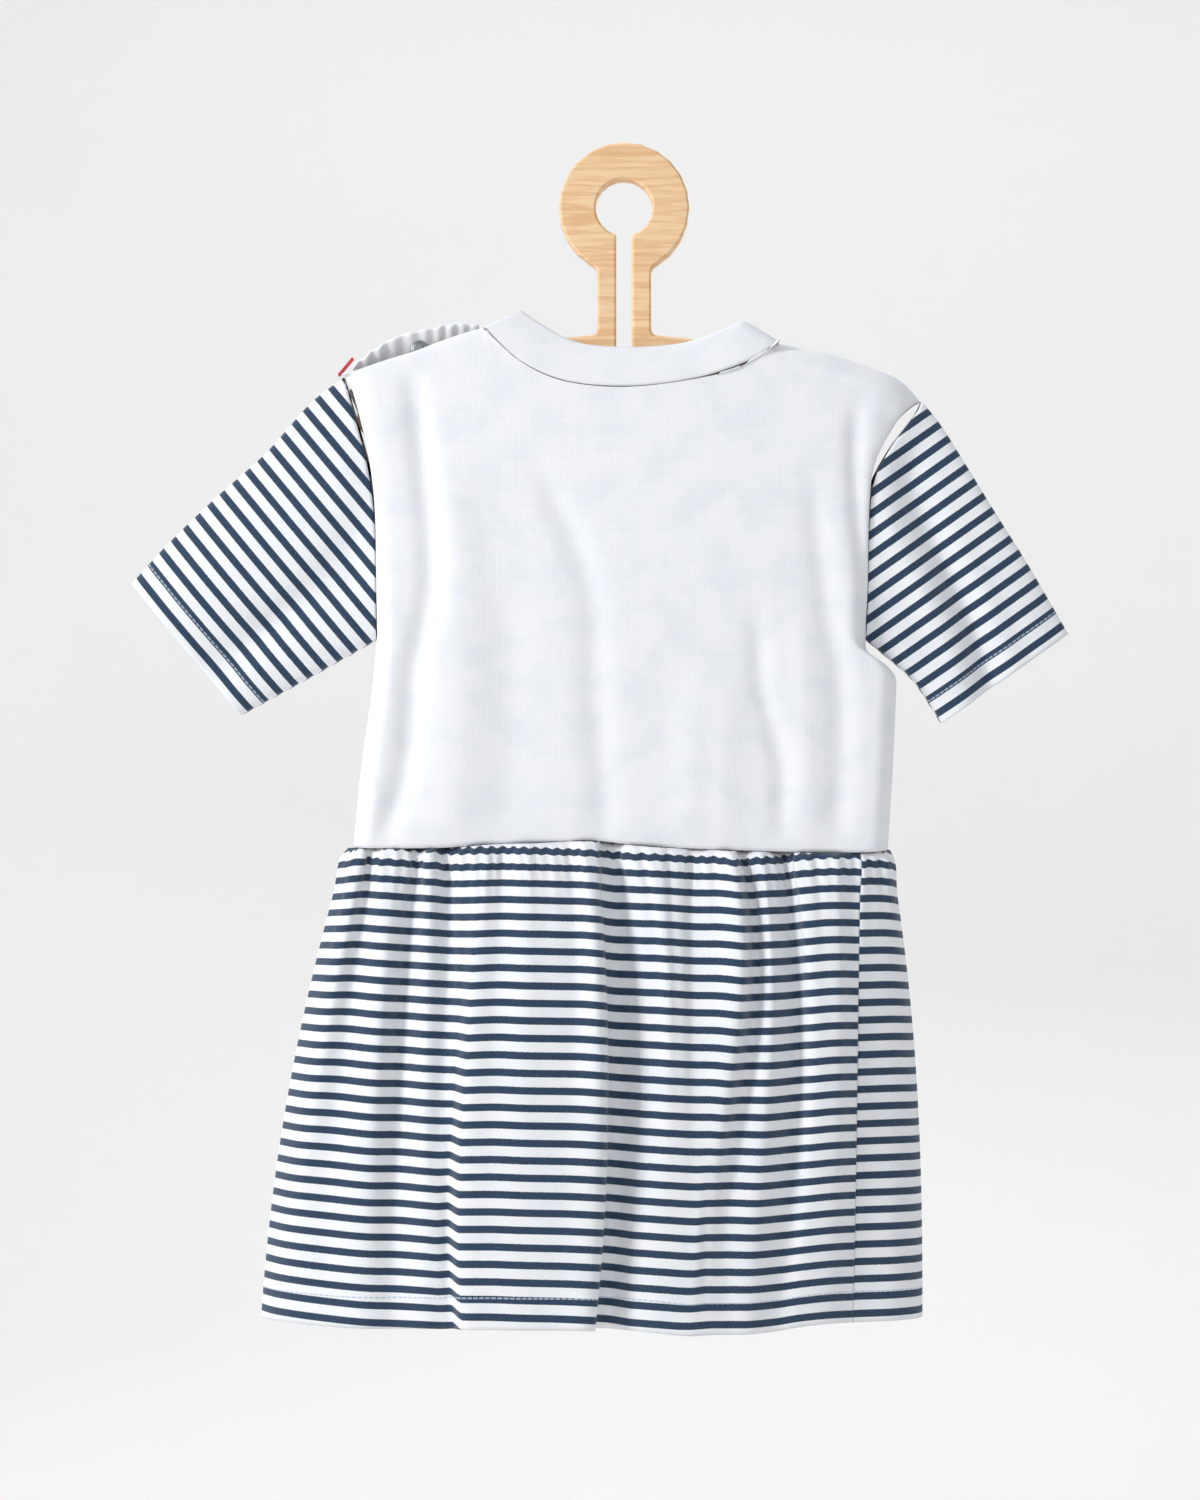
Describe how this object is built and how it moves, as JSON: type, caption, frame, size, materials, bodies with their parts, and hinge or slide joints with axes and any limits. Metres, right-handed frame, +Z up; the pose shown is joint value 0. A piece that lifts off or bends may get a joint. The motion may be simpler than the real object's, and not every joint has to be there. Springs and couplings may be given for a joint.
{
  "type": "toddler's striped jersey dress on a wooden hanger",
  "caption": "Short-sleeved toddler's dress with a plain white bodice and a gathered navy striped skirt, on a plywood hanger.",
  "frame": {"origin": "top of the hole in the hanger's head, halfway through the wood", "axes": "+Z up, +X to the right as the dress is seen from its back, -Y out of the dress's back"},
  "size_m": [0.4953, 0.083, 0.6215],
  "materials": {
    "birch_plywood": "satin",
    "white_jersey": "matt",
    "striped_jersey": "matt",
    "stud_metal": "satin",
    "red_tape": "matt"
  },
  "bodies": {
    "root": {"hanger": "birch_plywood", "bodice_back": "white_jersey", "bodice_front": "white_jersey", "skirt_back": "striped_jersey", "skirt_front": "striped_jersey", "sleeve_left": "striped_jersey", "sleeve_right": "striped_jersey", "neck_band": "white_jersey", "shoulder_underlap": "white_jersey", "press_stud": "stud_metal", "tape_end": "red_tape"}
  },
  "joints": []
}
